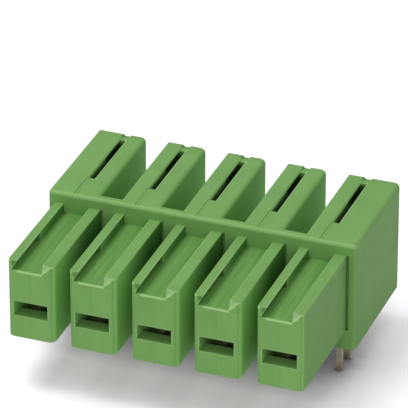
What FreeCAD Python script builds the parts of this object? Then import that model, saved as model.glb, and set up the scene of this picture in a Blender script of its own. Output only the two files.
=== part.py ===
import FreeCAD, Part
import math
import os

# Five-pole inverted board header for a plug-in terminal block, in millimetres.
# X runs along the row of poles and is zero on the middle pole.
# Y points to the back and is zero on the front row of solder legs.
# Z points up and is zero on the seat, the face that lies on the board.

# Row of poles
pole_count = 5
pitch = 10.16
end_left = 5.0
end_right = 5.4

# Body behind the towers
body_height = 18.6
body_depth = 21.8
body_front_wall = 1.65
body_floor = 2.0
front_to_legs = 2.5
block_width = 6.7
block_wall = 0.7
block_chamber_height = 13.6
body_front_edge_radius = 0.75
block_corner_radius = 1.0
body_top_edge_radius = 0.7
retaining_rib_radius = 0.3
retaining_rib_height = 7.0

# Slot and notch in the roof of each block
slot_width = 0.92
slot_front = 6.1
slot_back_wall = 2.3
slot_rim_chamfer = 0.2
slot_pocket_width = 0.8
slot_pocket_length = 6.3
slot_pocket_roof = 0.25
groove_depth = 0.12
notch_top_width = 1.46
notch_bottom_width = 0.9
notch_depth = 0.55
notch_length = 1.3

# Socket towers
tower_width = 7.7
tower_length = 19.6
tower_lift = 3.4
tower_height = 13.3
tower_corner_radius = 1.1
tower_top_edge_radius = 0.2
tower_root_groove_width = 0.4
tower_root_groove_depth = 0.45
tower_chamber_width = 5.6
tower_chamber_height = 6.6
tower_front_wall = 2.5

# Guide rails and channel on top of each tower
left_rail_width = 1.55
right_rail_width = 1.9
rail_facet_length = 0.6
channel_depth = 1.55
lip_chamfer = 0.25
dovetail_undercut = 0.75
dovetail_length = 10.0

# Mouth in the front of each tower
mouth_width = 5.6
mouth_height = 2.54
mouth_centre = 5.08

# Socket contact, folded from one sheet
sheet = 0.8
bend_radius = 0.5
finger_width = 3.8
finger_spread = 1.3
finger_pinch = 0.3
finger_flare = 0.95
finger_tip_clearance = 0.4
finger_tip_length = 2.4
finger_tip_width = 1.1
riser_clearance = 0.05
riser_foot = 0.6
leg_row_spacing = 3.8
leg_width = 0.9
leg_centre = 2.15
leg_length = 5.6
leg_tip_length = 0.9
leg_tip_share = 0.55
web_length = 4.0

# Steel over-spring
spring_sheet = 0.4
spring_clearance = 0.05
spring_leaf_width = 3.2
spring_leaf_length = 8.0
spring_web_length = 3.0

# Places worked out from the sizes above
body_front = -front_to_legs
body_back = body_front + body_depth
gap_front = body_front + body_front_wall
tower_front = body_front - tower_length
tower_top = tower_lift + tower_height
channel_floor = tower_top - channel_depth
mouth_middle = tower_lift + mouth_centre
finger_tip = tower_front + tower_front_wall + finger_tip_clearance
finger_pinch_place = finger_tip + finger_tip_length
block_chamber_width = block_width - 2 * block_wall
riser_width = block_chamber_width - 2 * riser_clearance
row_left = -(pole_count - 1) / 2 * pitch
body_left = row_left - end_left
body_right = -row_left + end_right


def block(x_low, x_high, y_low, y_high, z_low, z_high):
    """A box between two values on each axis."""
    corner = FreeCAD.Vector(x_low, y_low, z_low)
    return Part.makeBox(x_high - x_low, y_high - y_low, z_high - z_low, corner)


def closed_wire(points):
    """Straight lines through the points and back to the first."""
    return Part.makePolygon(points + [points[0]])


def prism(points, direction):
    """A closed outline pushed along a direction."""
    return Part.Face(closed_wire(points)).extrude(direction)


def near(value, target):
    """True where two lengths are the same within a small tolerance."""
    return abs(value - target) < 1e-4


def edges_where(shape, test):
    """The edges whose ends and middle all pass a test on a point."""
    found = []
    for edge in shape.Edges:
        middle = edge.valueAt((edge.FirstParameter + edge.LastParameter) / 2)
        points = [vertex.Point for vertex in edge.Vertexes] + [middle]
        if all(test(point) for point in points):
            found.append(edge)
    return found


def uprights(shape, y):
    """The vertical edges of a shape that stand at one Y."""
    found = []
    for edge in edges_where(shape, lambda point: near(point.y, y)):
        first, last = edge.Vertexes[0].Point, edge.Vertexes[-1].Point
        if near(first.x, last.x) and not near(first.z, last.z):
            found.append(edge)
    return found


def pole_x(pole):
    """The X of a pole's centre, counted from the left."""
    return row_left + pole * pitch


def body_plan():
    """The comb-shaped plan of the body: a front wall with the blocks behind it."""
    half_gap = (pitch - block_width) / 2
    points = [
        FreeCAD.Vector(body_left, body_front, 0),
        FreeCAD.Vector(body_right, body_front, 0),
        FreeCAD.Vector(body_right, body_back, 0),
    ]
    for pole in range(pole_count - 1, 0, -1):
        middle = pole_x(pole) - pitch / 2
        points.append(FreeCAD.Vector(middle + half_gap, body_back, 0))
        points.append(FreeCAD.Vector(middle + half_gap, gap_front, 0))
        points.append(FreeCAD.Vector(middle - half_gap, gap_front, 0))
        points.append(FreeCAD.Vector(middle - half_gap, body_back, 0))
    points.append(FreeCAD.Vector(body_left, body_back, 0))
    return points


def right_corners(shape):
    """The vertical edges at the right back corner of each block."""
    places = [pole_x(pole) + block_width / 2 for pole in range(pole_count - 1)] + [body_right]
    found = []
    for edge in uprights(shape, body_back):
        if any(near(edge.Vertexes[0].Point.x, place) for place in places):
            found.append(edge)
    return found


def body_shell():
    """The body with its corners and top edges rounded, before its chambers are cut."""
    comb = prism(body_plan(), FreeCAD.Vector(0, 0, body_height))
    comb = comb.makeFillet(body_front_edge_radius, uprights(comb, body_front))
    comb = comb.makeFillet(block_corner_radius, right_corners(comb))
    top_edges = edges_where(comb, lambda point: near(point.z, body_height))
    comb = comb.makeFillet(body_top_edge_radius, top_edges)
    inset = block_corner_radius
    floor_front = body_front + body_front_wall / 2
    floor = block(body_left + inset, body_right - inset, floor_front, body_back - inset, 0, body_floor)
    return comb.fuse(floor).removeSplitter()


def rail_channel(x):
    """The channel between the rails, its lip chamfer and the undercut under the left rail."""
    inner_left = x - tower_width / 2 + left_rail_width
    inner_right = x + tower_width / 2 - right_rail_width
    before = tower_front - 1
    channel = block(inner_left, inner_right, before, body_front, channel_floor, tower_top + 1)
    slope = dovetail_undercut / channel_depth
    dovetail = prism(
        [
            FreeCAD.Vector(inner_left - dovetail_undercut, before, channel_floor),
            FreeCAD.Vector(inner_right, before, channel_floor),
            FreeCAD.Vector(inner_left + slope, before, tower_top + 1),
        ],
        FreeCAD.Vector(0, dovetail_length + 1, 0),
    )
    lip = prism(
        [
            FreeCAD.Vector(inner_left, before, channel_floor - lip_chamfer - 1),
            FreeCAD.Vector(inner_left, tower_front + lip_chamfer, channel_floor),
            FreeCAD.Vector(inner_left, before, channel_floor),
        ],
        FreeCAD.Vector(inner_right - inner_left, 0, 0),
    )
    return channel.fuse([dovetail, lip])


def rail_facet(inner, foot, outer):
    """The corner between a rail's front, top and inner wall, taken off by one slanted cut."""
    low = FreeCAD.Vector(foot, tower_front, channel_floor)
    high = FreeCAD.Vector(outer, tower_front, tower_top)
    back = FreeCAD.Vector(inner, tower_front + rail_facet_length, tower_top)
    corner = FreeCAD.Vector(inner, tower_front, tower_top)
    middle = (low + high + back) * (1 / 3)
    return prism([low, high, back], (corner - middle) * 2)


def tower(pole):
    """One socket tower with its rails and channel, still solid inside."""
    x = pole_x(pole)
    left = x - tower_width / 2
    right = x + tower_width / 2
    root = body_front + body_front_wall / 2
    shape = block(left, right, tower_front, root, tower_lift, tower_top)
    shape = shape.makeFillet(tower_corner_radius, uprights(shape, tower_front))
    top_front = edges_where(shape, lambda point: near(point.z, tower_top) and point.y < root - 1)
    side_tops = edges_where(shape, lambda point: near(point.z, tower_top) and near(point.x, right))
    shape = shape.makeFillet(tower_top_edge_radius, top_front + side_tops)
    shape = shape.cut(rail_channel(x))
    inner_left = left + left_rail_width
    inner_right = right - right_rail_width
    left_facet = rail_facet(inner_left, inner_left - dovetail_undercut, left)
    right_facet = rail_facet(inner_right, inner_right, right)
    return shape.cut([left_facet, right_facet])


def root_groove(pole):
    """The narrow relief groove in the body front along the right side of a tower."""
    side = pole_x(pole) + tower_width / 2
    bottom = body_front + tower_root_groove_depth
    return block(side, side + tower_root_groove_width, body_front - 1, bottom, tower_lift, tower_top)


def mouth(pole):
    """The mouth of a tower and the chamber behind it, which runs into the block."""
    x = pole_x(pole)
    half_mouth = mouth_width / 2
    half_chamber = tower_chamber_width / 2
    z_low = mouth_middle - mouth_height / 2
    z_high = mouth_middle + mouth_height / 2
    chamber_front = tower_front + tower_front_wall
    tunnel = block(x - half_mouth, x + half_mouth, tower_front - 1, chamber_front, z_low, z_high)
    chamber_low = mouth_middle - tower_chamber_height / 2
    chamber_high = mouth_middle + tower_chamber_height / 2
    chamber = block(x - half_chamber, x + half_chamber, chamber_front, body_front, chamber_low, chamber_high)
    half_passage = block_chamber_width / 2
    passage = block(x - half_passage, x + half_passage, body_front, gap_front, chamber_low, chamber_high)
    return tunnel.fuse([chamber, passage])


def block_chamber(pole):
    """The chamber of a block, open below and behind, where the contact slides in."""
    x = pole_x(pole)
    half = block_chamber_width / 2
    chamber = block(x - half, x + half, gap_front, body_back + 1, -1, block_chamber_height)
    rib_y = leg_row_spacing + sheet / 2 + riser_clearance + retaining_rib_radius
    for side in (-1, 1):
        foot = FreeCAD.Vector(x + side * half, rib_y, body_floor)
        rib = Part.makeCylinder(retaining_rib_radius, retaining_rib_height, foot)
        chamber = chamber.cut(rib)
    return chamber


def roof_slot(pole):
    """The slot in a block's roof with its bevelled rim, side pocket, groove and notch."""
    x = pole_x(pole)
    half = slot_width / 2
    y_low = body_front + slot_front
    y_high = body_back - slot_back_wall
    slot = block(x - half, x + half, y_low, y_high, block_chamber_height - 1, body_height + 1)
    rim_low = body_height - slot_rim_chamfer
    rim_high = body_height + slot_rim_chamfer
    spread = 2 * slot_rim_chamfer
    across = prism(
        [
            FreeCAD.Vector(x - half, y_low - 1, rim_low),
            FreeCAD.Vector(x + half, y_low - 1, rim_low),
            FreeCAD.Vector(x + half + spread, y_low - 1, rim_high),
            FreeCAD.Vector(x - half - spread, y_low - 1, rim_high),
        ],
        FreeCAD.Vector(0, y_high - y_low + 2, 0),
    )
    along = prism(
        [
            FreeCAD.Vector(x - half - 1, y_low, rim_low),
            FreeCAD.Vector(x - half - 1, y_high, rim_low),
            FreeCAD.Vector(x - half - 1, y_high + spread, rim_high),
            FreeCAD.Vector(x - half - 1, y_low - spread, rim_high),
        ],
        FreeCAD.Vector(slot_width + 2, 0, 0),
    )
    bevel = across.common(along)
    groove = block(x - half, x + half, y_high - 0.1, body_back + 1, body_height - groove_depth, body_height + 1)
    pocket_left = x - half - slot_pocket_width
    pocket_front = y_high - slot_pocket_length
    pocket_top = body_height - slot_pocket_roof
    pocket = block(pocket_left, x - half + 0.1, pocket_front, y_high, block_chamber_height - 1, pocket_top)
    slope = (notch_top_width - notch_bottom_width) / 2 / notch_depth
    half_top = notch_top_width / 2 + slope
    half_bottom = notch_bottom_width / 2
    notch_front = body_back - notch_length
    notch = prism(
        [
            FreeCAD.Vector(x - half_bottom, notch_front, body_height - notch_depth),
            FreeCAD.Vector(x + half_bottom, notch_front, body_height - notch_depth),
            FreeCAD.Vector(x + half_top, notch_front, body_height + 1),
            FreeCAD.Vector(x - half_top, notch_front, body_height + 1),
        ],
        FreeCAD.Vector(0, notch_length + 1, 0),
    )
    return slot.fuse([bevel, groove, pocket, notch])


def housing():
    """The moulded housing: body and towers in one, with every chamber, mouth and slot cut."""
    shape = body_shell().fuse([tower(pole) for pole in range(pole_count)])
    for pole in range(pole_count):
        shape = shape.cut([mouth(pole), block_chamber(pole), roof_slot(pole), root_groove(pole)])
    return shape.removeSplitter()


def offset_line(points, distance):
    """A line of points in a plane of constant X, moved sideways with mitred corners."""
    across = FreeCAD.Vector(1, 0, 0)
    normals = []
    for first, second in zip(points, points[1:]):
        normals.append(across.cross(second - first).normalize())
    moved = [points[0] + normals[0] * distance]
    for point, before, after in zip(points[1:-1], normals, normals[1:]):
        moved.append(point + (before + after) * (distance / (1 + before.dot(after))))
    moved.append(points[-1] + normals[-1] * distance)
    return moved


def rounded_line(points, radii):
    """The edges of a line of points with an arc of its own radius at each inner point."""
    edges = []
    start = points[0]
    for before, corner, after, radius in zip(points, points[1:], points[2:], radii):
        inward = (corner - before).normalize()
        outward = (after - corner).normalize()
        turn = inward.getAngle(outward)
        reach = radius * math.tan(turn / 2)
        first = corner - inward * reach
        last = corner + outward * reach
        sagitta = radius / math.cos(turn / 2) - radius
        middle = corner + (outward - inward).normalize() * sagitta
        edges.append(Part.makeLine(start, first))
        edges.append(Part.Arc(first, middle, last).toShape())
        start = last
    edges.append(Part.makeLine(start, points[-1]))
    return edges


def folded_strip(points, thickness, x_low, x_high):
    """A strip of sheet folded along a line of (y, z) points, with rounded bends."""
    line = [FreeCAD.Vector(x_low, y, z) for y, z in points]
    upper_radii = []
    lower_radii = []
    for before, corner, after in zip(line, line[1:], line[2:]):
        turns_up = (corner - before).cross(after - corner).x > 0
        upper_radii.append(bend_radius if turns_up else bend_radius + thickness)
        lower_radii.append(bend_radius + thickness if turns_up else bend_radius)
    upper = offset_line(line, thickness / 2)
    lower = offset_line(line, -thickness / 2)
    edges = rounded_line(upper, upper_radii)
    edges.append(Part.makeLine(upper[-1], lower[-1]))
    edges += rounded_line(lower, lower_radii)
    edges.append(Part.makeLine(lower[0], upper[0]))
    outline = Part.Wire(Part.sortEdges(edges)[0])
    return Part.Face(outline).extrude(FreeCAD.Vector(x_high - x_low, 0, 0))


def finger_line(side):
    """The (y, z) points of one finger from its tip to its root; side is 1 above, -1 below."""
    root_y = body_front - web_length
    return [
        (finger_tip, mouth_middle + side * (finger_flare + sheet / 2)),
        (finger_pinch_place, mouth_middle + side * (finger_pinch + sheet / 2)),
        (root_y, mouth_middle + side * (finger_spread + sheet / 2)),
    ]


def solder_leg(x, y):
    """One solder leg with a tapered tip, cut from the foot of a riser."""
    half = leg_width / 2
    half_tip = half * leg_tip_share
    top = riser_foot + half
    shoulder = leg_tip_length - leg_length
    outline = [
        FreeCAD.Vector(x - half, y - sheet / 2, top),
        FreeCAD.Vector(x + half, y - sheet / 2, top),
        FreeCAD.Vector(x + half, y - sheet / 2, shoulder),
        FreeCAD.Vector(x + half_tip, y - sheet / 2, -leg_length),
        FreeCAD.Vector(x - half_tip, y - sheet / 2, -leg_length),
        FreeCAD.Vector(x - half, y - sheet / 2, shoulder),
    ]
    return prism(outline, FreeCAD.Vector(0, sheet, 0))


def contact(pole):
    """One socket contact: two fingers, a side web, two risers and four solder legs."""
    x = pole_x(pole)
    left = x - riser_width / 2
    right = x + riser_width / 2
    pieces = []
    for side, row_y in ((-1, 0), (1, leg_row_spacing)):
        line = finger_line(side)
        line.append((row_y, line[-1][1]))
        line.append((row_y, riser_foot))
        pieces.append(folded_strip(line, sheet, left, right))
        for leg_side in (-1, 1):
            pieces.append(solder_leg(x + leg_side * leg_centre, row_y))
    root_y = body_front - web_length
    span = finger_spread + sheet / 2
    pieces.append(block(left, left + sheet, root_y, -bend_radius, mouth_middle - span, mouth_middle + span))
    shape = pieces[0].fuse(pieces[1:])
    for side in (-1, 1):
        inner = x + side * finger_width / 2
        outer = x + side * (riser_width / 2 + 1)
        z_low = mouth_middle - tower_chamber_height / 2
        z_high = mouth_middle + tower_chamber_height / 2
        trim = block(min(inner, outer), max(inner, outer), tower_front, root_y, z_low, z_high)
        taper = prism(
            [
                FreeCAD.Vector(x + side * finger_tip_width / 2, tower_front, z_low),
                FreeCAD.Vector(x + side * finger_tip_width / 2, finger_tip, z_low),
                FreeCAD.Vector(inner, finger_pinch_place, z_low),
                FreeCAD.Vector(inner, tower_front, z_low),
            ],
            FreeCAD.Vector(0, 0, z_high - z_low),
        )
        shape = shape.cut([trim, taper])
    return shape.removeSplitter()


def over_spring(pole):
    """One steel clip: a leaf on each finger and a side web that joins the leaves."""
    x = pole_x(pole)
    left = x - spring_leaf_width / 2
    web_left = x + finger_width / 2 + spring_clearance
    web_right = web_left + spring_sheet
    lift = sheet / 2 + spring_clearance + spring_sheet / 2
    pieces = []
    ends = []
    for side in (-1, 1):
        pinch, root = finger_line(side)[1:]
        slope = (root[1] - pinch[1]) / (root[0] - pinch[0])
        rise = side * lift * math.hypot(1, slope)
        front = (pinch[0] + bend_radius, pinch[1] + slope * bend_radius + rise)
        back_run = bend_radius + spring_leaf_length
        back = (pinch[0] + back_run, pinch[1] + slope * back_run + rise)
        pieces.append(folded_strip([front, back], spring_sheet, left, web_right))
        ends.append(back)
    web_front = ends[0][0] - spring_web_length
    leaf_slope = (finger_spread - finger_pinch) / (root[0] - pinch[0])
    front_drop = leaf_slope * spring_web_length
    web = prism(
        [
            FreeCAD.Vector(web_left, ends[0][0], ends[0][1]),
            FreeCAD.Vector(web_left, ends[1][0], ends[1][1]),
            FreeCAD.Vector(web_left, web_front, ends[1][1] - front_drop),
            FreeCAD.Vector(web_left, web_front, ends[0][1] + front_drop),
        ],
        FreeCAD.Vector(spring_sheet, 0, 0),
    )
    return pieces[0].fuse([pieces[1], web]).removeSplitter()


def save(shape, name):
    """Write one piece to its own file."""
    shape.exportStep(os.path.join("parts", name + ".step"))


os.makedirs("parts", exist_ok=True)
save(housing(), "housing")
for pole in range(pole_count):
    save(contact(pole), "contact_" + str(pole + 1))
    save(over_spring(pole), "spring_" + str(pole + 1))
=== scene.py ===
import math

import bpy
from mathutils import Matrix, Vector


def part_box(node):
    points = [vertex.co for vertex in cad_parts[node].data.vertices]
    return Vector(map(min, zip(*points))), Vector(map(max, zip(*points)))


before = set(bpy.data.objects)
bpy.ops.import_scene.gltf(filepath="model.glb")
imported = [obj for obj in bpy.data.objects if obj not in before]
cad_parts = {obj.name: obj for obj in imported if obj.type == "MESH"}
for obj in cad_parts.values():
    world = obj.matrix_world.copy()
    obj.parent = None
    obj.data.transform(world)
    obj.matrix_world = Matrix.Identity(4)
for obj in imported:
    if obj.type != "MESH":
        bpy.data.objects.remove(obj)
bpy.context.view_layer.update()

# Housing: the body and its five towers, moulded in one shot in green polyamide.
# The tool is spark eroded, so the skin is finely grained and half matt. The channels keep lengthwise
# tool marks, and fine lines show where the inserts of the tool meet. The sharp edges are slightly
# rounded and also carry painted highlights, and corners, gaps and walls carry painted light and shade.
MM = 0.001
pitch = 10.16 * MM
roof_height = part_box("housing")[1][2]
tower_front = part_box("housing")[0][1]
tower_back = -2.6 * MM
gap_front = -0.9 * MM
row_half = 24.0 * MM
slot_front = 3.6 * MM
slot_back = 17.0 * MM
channel_height = 15.15 * MM


def linear(hex_colour):
    """Turns an sRGB hex colour into the linear values that shaders use."""
    values = [int(hex_colour[i:i + 2], 16) / 255 for i in (1, 3, 5)]
    return [v / 12.92 if v <= 0.04045 else ((v + 0.055) / 1.055) ** 2.4 for v in values] + [1.0]


def node(tree, kind, settings=None, inputs=None):
    """Adds a node, sets its properties, and sets its inputs or links them where a socket is given."""
    new = tree.nodes.new("ShaderNode" + kind)
    for name, value in (settings or {}).items():
        setattr(new, name, value)
    for name, value in (inputs or {}).items():
        if isinstance(value, bpy.types.NodeSocket):
            tree.links.new(value, new.inputs[name])
        else:
            new.inputs[name].default_value = value
    return new


def new_material(name):
    """A material with an empty node tree."""
    material = bpy.data.materials.new(name)
    material.use_nodes = True
    material.node_tree.nodes.clear()
    return material


def moulded_polyamide():
    """Green moulded polyamide: a soft sheen over fine grain, faint clouds and tool lines."""
    material = new_material("moulded_polyamide")
    tree = material.node_tree
    coordinates = node(tree, "TexCoord")
    place = coordinates.outputs["Object"]
    axes = node(tree, "SeparateXYZ", inputs={"Vector": place})
    facing = node(tree, "SeparateXYZ", inputs={"Vector": coordinates.outputs["Normal"]})

    # Clouds a few millimetres wide, where the melt cooled a little sooner or later.
    cloud_width = 5.0 * MM
    clouds = node(tree, "TexNoise", inputs={"Vector": place, "Scale": 1 / cloud_width, "Detail": 3.0})
    cloud_amount = node(
        tree, "MapRange", inputs={"Value": clouds.outputs["Fac"], "From Min": 0.3, "From Max": 0.7}
    )
    skin = node(
        tree,
        "Mix",
        {"data_type": "RGBA"},
        {"Factor": cloud_amount.outputs["Result"], "A": linear("#6f9c55"), "B": linear("#76a45c")},
    )

    # Tool marks 0.4 mm wide and some 14 mm long on the channel floors, which are a little darker.
    mark_width = 0.4 * MM
    mark_length = 14.0 * MM
    stretched = node(
        tree,
        "Mapping",
        {"vector_type": "POINT"},
        {"Vector": place, "Scale": (1 / mark_width, 1 / mark_length, 1 / mark_width)},
    )
    streaks = node(
        tree, "TexNoise", inputs={"Vector": stretched.outputs[0], "Scale": 1.0, "Detail": 1.0}
    )
    streak_share = node(
        tree, "MapRange", inputs={"Value": streaks.outputs["Fac"], "From Min": 0.35, "From Max": 0.65}
    )
    floor_slack = 0.05 * MM
    in_channel = node(
        tree,
        "Math",
        {"operation": "COMPARE"},
        {0: axes.outputs["Z"], 1: channel_height, 2: floor_slack},
    )
    streak_amount = node(
        tree,
        "Math",
        {"operation": "MULTIPLY"},
        {0: streak_share.outputs["Result"], 1: in_channel.outputs[0]},
    )
    channel_darker = 0.3
    marks_darker = 0.65
    floor_tint = node(
        tree, "Math", {"operation": "MULTIPLY"}, {0: in_channel.outputs[0], 1: channel_darker}
    )
    tint = node(
        tree,
        "Math",
        {"operation": "MULTIPLY_ADD"},
        {0: streak_amount.outputs[0], 1: marks_darker, 2: floor_tint.outputs[0]},
    )
    streaked = node(
        tree,
        "Mix",
        {"data_type": "RGBA"},
        {"Factor": tint.outputs[0], "A": skin.outputs["Result"], "B": linear("#5d9044")},
    )

    # The walls that face each other across the gaps get painted light and painted shade, in place of
    # the green
    # they bounce to each other: the blocks' walls are painted a stronger green, lighter further down,
    # and the towers' walls are painted deeper towards the body.
    sideways = node(tree, "Math", {"operation": "ABSOLUTE"}, {0: facing.outputs["X"]})
    side_wall = node(
        tree, "MapRange", inputs={"Value": sideways.outputs[0], "From Min": 0.6, "From Max": 0.95}
    )
    from_middle = node(tree, "Math", {"operation": "ABSOLUTE"}, {0: axes.outputs["X"]})
    inside_row = node(
        tree, "Math", {"operation": "LESS_THAN"}, {0: from_middle.outputs[0], 1: row_half}
    )
    inner_wall = node(
        tree,
        "Math",
        {"operation": "MULTIPLY"},
        {0: side_wall.outputs["Result"], 1: inside_row.outputs[0]},
    )
    on_blocks = node(tree, "Math", {"operation": "GREATER_THAN"}, {0: axes.outputs["Y"], 1: gap_front})
    block_wall = node(
        tree, "Math", {"operation": "MULTIPLY"}, {0: inner_wall.outputs[0], 1: on_blocks.outputs[0]}
    )
    lighter_from = roof_height - 0.5 * MM
    lightest_from = roof_height - 5.0 * MM
    painted_bounce_down_wall = node(
        tree,
        "MapRange",
        inputs={"Value": axes.outputs["Z"], "From Min": lighter_from, "From Max": lightest_from},
    )
    # Painted bounce light: the blocks' walls get a lighter green further down.
    painted_bounce_green = node(
        tree,
        "Mix",
        {"data_type": "RGBA"},
        {"Factor": painted_bounce_down_wall.outputs["Result"], "A": linear("#6ba34e"), "B": linear("#86c75f")},
    )
    with_painted_bounce = node(
        tree,
        "Mix",
        {"data_type": "RGBA"},
        {
            "Factor": block_wall.outputs[0],
            "A": streaked.outputs["Result"],
            "B": painted_bounce_green.outputs["Result"],
        },
    )
    on_tower = node(tree, "Math", {"operation": "LESS_THAN"}, {0: axes.outputs["Y"], 1: tower_back})
    deeper_from = tower_front + 4.0 * MM
    deepest_from = tower_front + 14.0 * MM
    painted_shade_towards_body = node(
        tree,
        "MapRange",
        inputs={"Value": axes.outputs["Y"], "From Min": deeper_from, "From Max": deepest_from},
    )
    tower_wall = node(
        tree, "Math", {"operation": "MULTIPLY"}, {0: inner_wall.outputs[0], 1: on_tower.outputs[0]}
    )
    # Painted shade: the towers' walls get darker towards the body.
    painted_wall_shade = node(
        tree,
        "Mix",
        {"data_type": "RGBA"},
        {"Factor": painted_shade_towards_body.outputs["Result"], "A": linear("#86bd68"), "B": linear("#4a8139")},
    )
    with_painted_wall_shade = node(
        tree,
        "Mix",
        {"data_type": "RGBA"},
        {
            "Factor": tower_wall.outputs[0],
            "A": with_painted_bounce.outputs["Result"],
            "B": painted_wall_shade.outputs["Result"],
        },
    )

    # Two inserts of the tool meet down the middle of each tower's front, and the left one is duller.
    across = node(
        tree, "Math", {"operation": "WRAP"}, {0: axes.outputs["X"], 1: pitch / 2, 2: -pitch / 2}
    )
    looks_forward = node(tree, "Math", {"operation": "LESS_THAN"}, {0: facing.outputs["Y"], 1: -0.8})
    front_limit = tower_front + 0.2 * MM
    at_front = node(
        tree, "Math", {"operation": "LESS_THAN"}, {0: axes.outputs["Y"], 1: front_limit}
    )
    on_front = node(
        tree, "Math", {"operation": "MULTIPLY"}, {0: looks_forward.outputs[0], 1: at_front.outputs[0]}
    )
    seam_half = 0.06 * MM
    left_duller = 0.25
    middle = node(
        tree, "Math", {"operation": "COMPARE"}, {0: across.outputs[0], 1: 0.0, 2: seam_half}
    )
    left_half = node(tree, "Math", {"operation": "LESS_THAN"}, {0: across.outputs[0], 1: 0.0})
    duller = node(tree, "Math", {"operation": "MULTIPLY"}, {0: left_half.outputs[0], 1: left_duller})
    front_mark = node(
        tree, "Math", {"operation": "MAXIMUM"}, {0: middle.outputs[0], 1: duller.outputs[0]}
    )
    front_tint = node(
        tree, "Math", {"operation": "MULTIPLY"}, {0: front_mark.outputs[0], 1: on_front.outputs[0]}
    )

    # Two fine lines run over the roof in front of each slot, the left one deeper. Painted shade makes
    # the front wall of the body, behind the towers, a little darker, and the end of the undercut in
    # each tower more.
    roof_limit = roof_height - 0.1 * MM
    on_roof = node(
        tree, "Math", {"operation": "GREATER_THAN"}, {0: axes.outputs["Z"], 1: roof_limit}
    )
    before_slot = node(
        tree, "Math", {"operation": "LESS_THAN"}, {0: axes.outputs["Y"], 1: slot_front}
    )
    in_front = node(
        tree, "Math", {"operation": "MULTIPLY"}, {0: on_roof.outputs[0], 1: before_slot.outputs[0]}
    )
    left_line_place = -0.68 * MM
    left_line_half = 0.08 * MM
    right_line_place = -0.2 * MM
    right_line_half = 0.05 * MM
    right_line_share = 0.5
    left_line = node(
        tree,
        "Math",
        {"operation": "COMPARE"},
        {0: across.outputs[0], 1: left_line_place, 2: left_line_half},
    )
    right_line = node(
        tree,
        "Math",
        {"operation": "COMPARE"},
        {0: across.outputs[0], 1: right_line_place, 2: right_line_half},
    )
    right_tint = node(
        tree, "Math", {"operation": "MULTIPLY"}, {0: right_line.outputs[0], 1: right_line_share}
    )
    either = node(
        tree, "Math", {"operation": "MAXIMUM"}, {0: left_line.outputs[0], 1: right_tint.outputs[0]}
    )
    roof_tint = node(
        tree, "Math", {"operation": "MULTIPLY"}, {0: either.outputs[0], 1: in_front.outputs[0]}
    )
    roof_lines_darker = 0.9
    front_marks_darker = 0.3
    step_end_painted_shade = 0.6
    body_wall_painted_shade = 0.25
    roof_share = node(
        tree, "Math", {"operation": "MULTIPLY"}, {0: roof_tint.outputs[0], 1: roof_lines_darker}
    )
    tower_mark = node(
        tree,
        "Math",
        {"operation": "MULTIPLY_ADD"},
        {0: front_tint.outputs[0], 1: front_marks_darker, 2: roof_share.outputs[0]},
    )
    off_front = node(tree, "Math", {"operation": "SUBTRACT"}, {0: 1.0, 1: at_front.outputs[0]})
    # Painted shade on the body's front wall behind the towers and on the end of each undercut.
    body_wall = node(
        tree, "Math", {"operation": "MULTIPLY"}, {0: looks_forward.outputs[0], 1: off_front.outputs[0]}
    )
    step_end = node(
        tree, "Math", {"operation": "MULTIPLY"}, {0: body_wall.outputs[0], 1: on_tower.outputs[0]}
    )
    marks_and_step_shade = node(
        tree,
        "Math",
        {"operation": "MULTIPLY_ADD"},
        {0: step_end.outputs[0], 1: step_end_painted_shade, 2: tower_mark.outputs[0]},
    )
    lines_and_painted_shade = node(
        tree,
        "Math",
        {"operation": "MULTIPLY_ADD"},
        {0: body_wall.outputs[0], 1: body_wall_painted_shade, 2: marks_and_step_shade.outputs[0]},
    )
    # The same darker green paints the real tool lines and the painted shade.
    lined_and_shaded = node(
        tree,
        "Mix",
        {"data_type": "RGBA"},
        {"Factor": lines_and_painted_shade.outputs[0], "A": with_painted_wall_shade.outputs["Result"], "B": linear("#4c7a38")},
    )

    # Painted highlights: the towers' sharp edges are painted paler over the last 0.3 mm, and so is the
    # right rim of each slot. The bevels at the front end of each channel get a weaker painted highlight
    # than the rim, and the body's round front edge the weakest.
    highlight_width = 0.3 * MM
    edge_shine = 0.42
    rim_shine = 0.714
    bevel_shine = 0.42
    body_edge_shine = 0.16
    rim = node(tree, "AmbientOcclusion", {"inside": True, "samples": 8}, {"Distance": highlight_width})
    edge_highlight = node(
        tree,
        "MapRange",
        inputs={"Value": rim.outputs["AO"], "From Min": 0.85, "From Max": 0.4, "To Max": edge_shine},
    )
    tower_edge_highlight = node(
        tree, "Math", {"operation": "MULTIPLY"}, {0: edge_highlight.outputs["Result"], 1: on_tower.outputs[0]}
    )
    slot_rim_place = 0.56 * MM
    slot_rim_half = 0.12 * MM
    slot_rim = node(
        tree,
        "Math",
        {"operation": "COMPARE"},
        {0: across.outputs[0], 1: slot_rim_place, 2: slot_rim_half},
    )
    slot_centre = (slot_front + slot_back) / 2
    slot_reach = (slot_back - slot_front) / 2 + 0.2 * MM
    beside_slot = node(
        tree, "Math", {"operation": "COMPARE"}, {0: axes.outputs["Y"], 1: slot_centre, 2: slot_reach}
    )
    rim_foot = roof_height - 0.25 * MM
    at_roof = node(
        tree, "Math", {"operation": "GREATER_THAN"}, {0: axes.outputs["Z"], 1: rim_foot}
    )
    rim_length = node(
        tree, "Math", {"operation": "MULTIPLY"}, {0: beside_slot.outputs[0], 1: at_roof.outputs[0]}
    )
    slot_rim_highlight = node(
        tree, "Math", {"operation": "MULTIPLY"}, {0: slot_rim.outputs[0], 1: rim_length.outputs[0]}
    )
    tilted_up = node(tree, "Math", {"operation": "GREATER_THAN"}, {0: facing.outputs["Z"], 1: 0.2})
    tilted_forward = node(tree, "Math", {"operation": "LESS_THAN"}, {0: facing.outputs["Y"], 1: -0.3})
    lip_foot = channel_height - 0.3 * MM
    on_lip = node(
        tree, "Math", {"operation": "GREATER_THAN"}, {0: axes.outputs["Z"], 1: lip_foot}
    )
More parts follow.
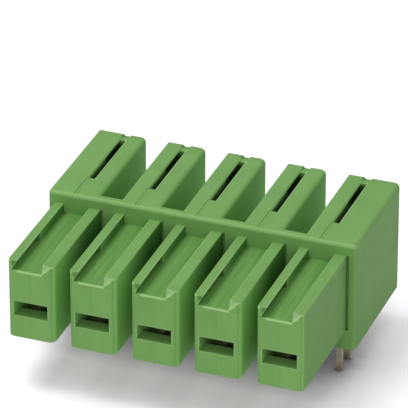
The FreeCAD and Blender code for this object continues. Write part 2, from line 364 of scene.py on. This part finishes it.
    tilted = node(
        tree, "Math", {"operation": "MULTIPLY"}, {0: tilted_up.outputs[0], 1: tilted_forward.outputs[0]}
    )
    lip_bevel = node(
        tree, "Math", {"operation": "MULTIPLY"}, {0: tilted.outputs[0], 1: on_lip.outputs[0]}
    )
    bevel_highlight = node(
        tree, "Math", {"operation": "MULTIPLY"}, {0: lip_bevel.outputs[0], 1: on_tower.outputs[0]}
    )
    edge_and_rim = node(
        tree,
        "Math",
        {"operation": "MULTIPLY_ADD"},
        {0: slot_rim_highlight.outputs[0], 1: rim_shine, 2: tower_edge_highlight.outputs[0]},
    )
    tower_shine = node(
        tree,
        "Math",
        {"operation": "MULTIPLY_ADD"},
        {0: bevel_highlight.outputs[0], 1: bevel_shine, 2: edge_and_rim.outputs[0]},
    )
    round_edge_foot = roof_height - 0.7 * MM
    round_edge = node(
        tree, "Math", {"operation": "GREATER_THAN"}, {0: axes.outputs["Z"], 1: round_edge_foot}
    )
    body_edge = node(
        tree, "Math", {"operation": "MULTIPLY"}, {0: tilted.outputs[0], 1: round_edge.outputs[0]}
    )
    painted_highlight = node(
        tree,
        "Math",
        {"operation": "MULTIPLY_ADD", "use_clamp": True},
        {0: body_edge.outputs[0], 1: body_edge_shine, 2: tower_shine.outputs[0]},
    )
    # Painted highlight: a pale green on the edges, the slot rims and the bevels.
    highlighted = node(
        tree,
        "Mix",
        {"data_type": "RGBA"},
        {"Factor": painted_highlight.outputs[0], "A": lined_and_shaded.outputs["Result"], "B": linear("#b4d69c")},
    )

    # Painted shade: corners and mouths deeper than about a millimetre are painted darker, and the slots
    # are painted darker below the roof.
    shade_reach = 1.5 * MM
    corner_shade = 0.85
    slot_shade = 0.9
    shelter = node(tree, "AmbientOcclusion", {"samples": 8}, {"Distance": shade_reach})
    corner_painted_shade = node(
        tree,
        "MapRange",
        inputs={
            "Value": shelter.outputs["AO"],
            "From Min": 0.4,
            "From Max": 0.08,
            "To Max": corner_shade,
        },
    )
    pocket_middle = -0.4 * MM
    pocket_half = 0.95 * MM
    by_slot = node(
        tree,
        "Math",
        {"operation": "COMPARE"},
        {0: across.outputs[0], 1: pocket_middle, 2: pocket_half},
    )
    slot_walls = node(
        tree, "Math", {"operation": "MULTIPLY"}, {0: by_slot.outputs[0], 1: beside_slot.outputs[0]}
    )
    dark_from = roof_height - 0.2 * MM
    darkest_from = roof_height - 1.1 * MM
    below_roof = node(
        tree,
        "MapRange",
        inputs={
            "Value": axes.outputs["Z"],
            "From Min": dark_from,
            "From Max": darkest_from,
            "To Max": slot_shade,
        },
    )
    slot_painted_shade = node(
        tree,
        "Math",
        {"operation": "MULTIPLY"},
        {0: slot_walls.outputs[0], 1: below_roof.outputs["Result"]},
    )
    painted_shade_amount = node(
        tree, "Math", {"operation": "MAXIMUM"}, {0: corner_painted_shade.outputs["Result"], 1: slot_painted_shade.outputs[0]}
    )
    # Painted shade: a near-black green in deep corners, mouths and slots.
    shaded = node(
        tree,
        "Mix",
        {"data_type": "RGBA"},
        {"Factor": painted_shade_amount.outputs[0], "A": highlighted.outputs["Result"], "B": linear("#16280f")},
    )

    # The grain is 0.15 mm coarse, a little coarser than the real one, so that it shows.
    grain_width = 0.15 * MM
    grain_depth = 0.004 * MM
    mark_depth = 0.012 * MM
    line_depth = 0.03 * MM
    edge_radius = 0.12 * MM
    grain = node(tree, "TexNoise", inputs={"Vector": place, "Scale": 1 / grain_width, "Detail": 2.0})
    grain_height = node(
        tree, "Math", {"operation": "MULTIPLY"}, {0: grain.outputs["Fac"], 1: grain_depth}
    )
    marks = node(
        tree,
        "Math",
        {"operation": "MULTIPLY_ADD"},
        {0: streak_amount.outputs[0], 1: mark_depth, 2: grain_height.outputs[0]},
    )
    height = node(
        tree,
        "Math",
        {"operation": "MULTIPLY_ADD"},
        {0: roof_tint.outputs[0], 1: -line_depth, 2: marks.outputs[0]},
    )
    soft_edge = node(tree, "Bevel", {"samples": 6}, {"Radius": edge_radius})
    bump = node(
        tree,
        "Bump",
        inputs={
            "Strength": 1.0,
            "Distance": 1.0,
            "Height": height.outputs[0],
            "Normal": soft_edge.outputs[0],
        },
    )
    smoothest = 0.42
    roughest = 0.56
    sheen = node(
        tree,
        "MapRange",
        inputs={"Value": grain.outputs["Fac"], "To Min": smoothest, "To Max": roughest},
    )
    shader = node(
        tree,
        "BsdfPrincipled",
        inputs={
            "Base Color": shaded.outputs["Result"],
            "Roughness": sheen.outputs["Result"],
            "IOR": 1.53,
            "Specular IOR Level": 0.1,
            "Normal": bump.outputs["Normal"],
        },
    )
    node(tree, "OutputMaterial", inputs={"Surface": shader.outputs["BSDF"]})
    return material


def dress(name_start, material):
    """Gives a finish to every CAD node whose name starts with a word."""
    for name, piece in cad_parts.items():
        if name.startswith(name_start):
            piece.data.materials.clear()
            piece.data.materials.append(material)


dress("housing", moulded_polyamide())

# Contacts: copper alloy strip, stamped, folded and tin plated, pushed into the chambers from behind.
# Rolling leaves faint lines along the strip, and the warm alloy shows through towards the leg tips.
leg_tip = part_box("contact_1")[0][2]


def tinned_strip():
    """Tin plating on rolled copper alloy: a pale warm metal, coppery at the cut leg tips."""
    material = new_material("tinned_strip")
    tree = material.node_tree
    place = node(tree, "TexCoord").outputs["Object"]
    axes = node(tree, "SeparateXYZ", inputs={"Vector": place})

    # Clouds a millimetre wide in the plating.
    cloud_width = 1.2 * MM
    clouds = node(tree, "TexNoise", inputs={"Vector": place, "Scale": 1 / cloud_width, "Detail": 2.0})
    plating = node(
        tree,
        "Mix",
        {"data_type": "RGBA"},
        {"Factor": clouds.outputs["Fac"], "A": linear("#c2b59c"), "B": linear("#e0d8c6")},
    )

    # The alloy comes through over about the last 1.7 mm of the legs, with a ragged limit.
    raggedness = 1.5 * MM
    alloy_from = leg_tip + 1.0 * MM
    alloy_fullest = leg_tip - 0.6 * MM
    alloy_share = 0.85
    ragged = node(
        tree,
        "Math",
        {"operation": "MULTIPLY_ADD"},
        {0: clouds.outputs["Fac"], 1: -raggedness, 2: axes.outputs["Z"]},
    )
    bare = node(
        tree,
        "MapRange",
        inputs={
            "Value": ragged.outputs[0],
            "From Min": alloy_from,
            "From Max": alloy_fullest,
            "To Max": alloy_share,
        },
    )
    colour = node(
        tree,
        "Mix",
        {"data_type": "RGBA"},
        {"Factor": bare.outputs["Result"], "A": plating.outputs["Result"], "B": linear("#8a6a48")},
    )

    # Rolling lines 0.1 mm apart along the strip.
    line_width = 0.1 * MM
    line_length = 4.0 * MM
    line_depth = 0.01 * MM
    rolled = node(
        tree,
        "Mapping",
        {"vector_type": "POINT"},
        {"Vector": place, "Scale": (1 / line_width, 1 / line_length, 1 / line_length)},
    )
    lines = node(tree, "TexNoise", inputs={"Vector": rolled.outputs[0], "Scale": 1.0, "Detail": 1.0})
    bump = node(
        tree,
        "Bump",
        inputs={"Strength": 0.5, "Distance": line_depth, "Height": lines.outputs["Fac"]},
    )
    polish = node(
        tree, "MapRange", inputs={"Value": lines.outputs["Fac"], "To Min": 0.22, "To Max": 0.42}
    )
    shader = node(
        tree,
        "BsdfPrincipled",
        inputs={
            "Base Color": colour.outputs["Result"],
            "Metallic": 1.0,
            "Roughness": polish.outputs["Result"],
            "Normal": bump.outputs["Normal"],
        },
    )
    node(tree, "OutputMaterial", inputs={"Surface": shader.outputs["BSDF"]})
    return material


dress("contact_", tinned_strip())

# Over-springs: stainless spring strip, cut and folded into a clip that grips each contact's fingers.
# It is rolled bright, with a fine grain along the leaf.


def rolled_spring_steel():
    """Rolled stainless spring strip: grey, with fine lines along the leaf."""
    material = new_material("rolled_spring_steel")
    tree = material.node_tree
    place = node(tree, "TexCoord").outputs["Object"]
    line_width = 0.12 * MM
    line_length = 5.0 * MM
    line_depth = 0.008 * MM
    rolled = node(
        tree,
        "Mapping",
        {"vector_type": "POINT"},
        {"Vector": place, "Scale": (1 / line_width, 1 / line_length, 1 / line_width)},
    )
    lines = node(tree, "TexNoise", inputs={"Vector": rolled.outputs[0], "Scale": 1.0, "Detail": 2.0})
    colour = node(
        tree,
        "Mix",
        {"data_type": "RGBA"},
        {"Factor": lines.outputs["Fac"], "A": linear("#8f9092"), "B": linear("#b6b7b9")},
    )
    bump = node(
        tree,
        "Bump",
        inputs={"Strength": 0.4, "Distance": line_depth, "Height": lines.outputs["Fac"]},
    )
    polish = node(
        tree, "MapRange", inputs={"Value": lines.outputs["Fac"], "To Min": 0.2, "To Max": 0.4}
    )
    shader = node(
        tree,
        "BsdfPrincipled",
        inputs={
            "Base Color": colour.outputs["Result"],
            "Metallic": 1.0,
            "Roughness": polish.outputs["Result"],
            "Normal": bump.outputs["Normal"],
        },
    )
    node(tree, "OutputMaterial", inputs={"Surface": shader.outputs["BSDF"]})
    return material


dress("spring_", rolled_spring_steel())

# Floor: a plain white sheet under the leg tips. To the camera it glows a little, so that it shows
# white wherever nothing shades it. Near the block a painted shadow darkens its colour and its glow, on
# top of the block's real shadow.
bpy.ops.object.select_all(action="DESELECT")
floor_side = 6.0
bpy.ops.mesh.primitive_plane_add(size=floor_side, location=(0.0, 0.0, leg_tip))
floor = bpy.context.object
floor.name = "floor"
floor_finish = new_material("white_paper")
tree = floor_finish.node_tree
rays = node(tree, "LightPath")
paper = node(tree, "BsdfDiffuse", inputs={"Color": linear("#e9e7ec")})
shadow_reach = 11.0 * MM
glow_strength = 0.28
near_block = node(tree, "AmbientOcclusion", {"samples": 16}, {"Distance": shadow_reach})
unshadowed_share = node(
    tree, "MapRange", inputs={"Value": near_block.outputs["AO"], "From Min": 0.35, "From Max": 0.85}
)
# Painted shadow: purple grey near the block, white away from it.
painted_shadow_colour = node(
    tree,
    "Mix",
    {"data_type": "RGBA"},
    {"Factor": unshadowed_share.outputs["Result"], "A": linear("#55505c"), "B": linear("#fffaff")},
)
sheet = node(tree, "BsdfDiffuse", inputs={"Color": painted_shadow_colour.outputs["Result"]})
glow = node(tree, "Emission", inputs={"Color": painted_shadow_colour.outputs["Result"], "Strength": glow_strength})
shown = node(tree, "AddShader", inputs={0: sheet.outputs[0], 1: glow.outputs[0]})
seen = node(
    tree,
    "MixShader",
    inputs={0: rays.outputs["Is Camera Ray"], 1: paper.outputs[0], 2: shown.outputs[0]},
)
node(tree, "OutputMaterial", inputs={"Surface": seen.outputs[0]})
floor.data.materials.append(floor_finish)

# Light: a white room and two wide soft lamps, a low one in front and a high one on the left.
# The room shows plain white to the camera and in the metal, and lights the block about half as much.
world = bpy.data.worlds.new("white_room")
world.use_nodes = True
bpy.context.scene.world = world
tree = world.node_tree
tree.nodes.clear()
rays = node(tree, "LightPath")
mirrored = node(
    tree,
    "Math",
    {"operation": "MAXIMUM"},
    {0: rays.outputs["Is Camera Ray"], 1: rays.outputs["Is Glossy Ray"]},
)
direct = node(
    tree,
    "Math",
    {"operation": "MAXIMUM"},
    {0: mirrored.outputs[0], 1: rays.outputs["Is Transmission Ray"]},
)
strength_on_block = 0.52
strength_seen = 1.0
strength = node(
    tree,
    "MapRange",
    inputs={"Value": direct.outputs[0], "To Min": strength_on_block, "To Max": strength_seen},
)
room = node(tree, "Background", inputs={"Color": linear("#ffffff"), "Strength": strength.outputs[0]})
node(tree, "OutputWorld", inputs={"Surface": room.outputs[0]})


def soft_lamp(name, turned, raised, power):
    """A soft lamp 0.25 m wide that faces the block from 0.6 m away, turned and raised in degrees."""
    away_by = 0.6
    width = 0.25
    data = bpy.data.lights.new(name, "AREA")
    data.shape = "SQUARE"
    data.size = width
    data.energy = power
    lamp = bpy.data.objects.new(name, data)
    bpy.context.scene.collection.objects.link(lamp)
    turned = math.radians(turned)
    raised = math.radians(raised)
    flat = math.cos(raised) * away_by
    lamp.location = (math.sin(turned) * flat, -math.cos(turned) * flat, math.sin(raised) * away_by)
    lamp.rotation_euler = (math.pi / 2 - raised, 0.0, turned)


soft_lamp("front_lamp", 12.0, 20.0, 1.0)
soft_lamp("left_lamp", -80.0, 70.0, 1.5)

# View: a long lens looks at the five sockets from the front right and above.
# The focal length and the place of the camera come from the way the block's edges run together.
image_size = 408
focal_pixels = 4499
turn = math.radians(20.56)
lift = math.radians(29.28)
distance = 701.4 * MM
look_at = (0.0, -1.8 * MM, 9.5 * MM)
slide_right = 3.26 / focal_pixels * distance
slide_up = 62.46 / focal_pixels * distance
away = (math.sin(turn) * math.cos(lift), -math.cos(turn) * math.cos(lift), math.sin(lift))
right = (math.cos(turn), math.sin(turn), 0.0)
up = (-math.sin(turn) * math.sin(lift), math.cos(turn) * math.sin(lift), math.cos(lift))

camera_data = bpy.data.cameras.new("camera")
camera_data.sensor_width = 36.0
camera_data.lens = focal_pixels / image_size * camera_data.sensor_width
camera_data.clip_start = 0.05
camera_data.clip_end = 20.0
camera = bpy.data.objects.new("camera", camera_data)
camera.location = [
    look_at[i] + away[i] * distance + right[i] * slide_right + up[i] * slide_up for i in range(3)
]
camera.rotation_euler = (math.pi / 2 - lift, 0.0, turn)
bpy.context.scene.collection.objects.link(camera)
bpy.context.scene.camera = camera
bpy.context.scene.view_settings.view_transform = "Standard"
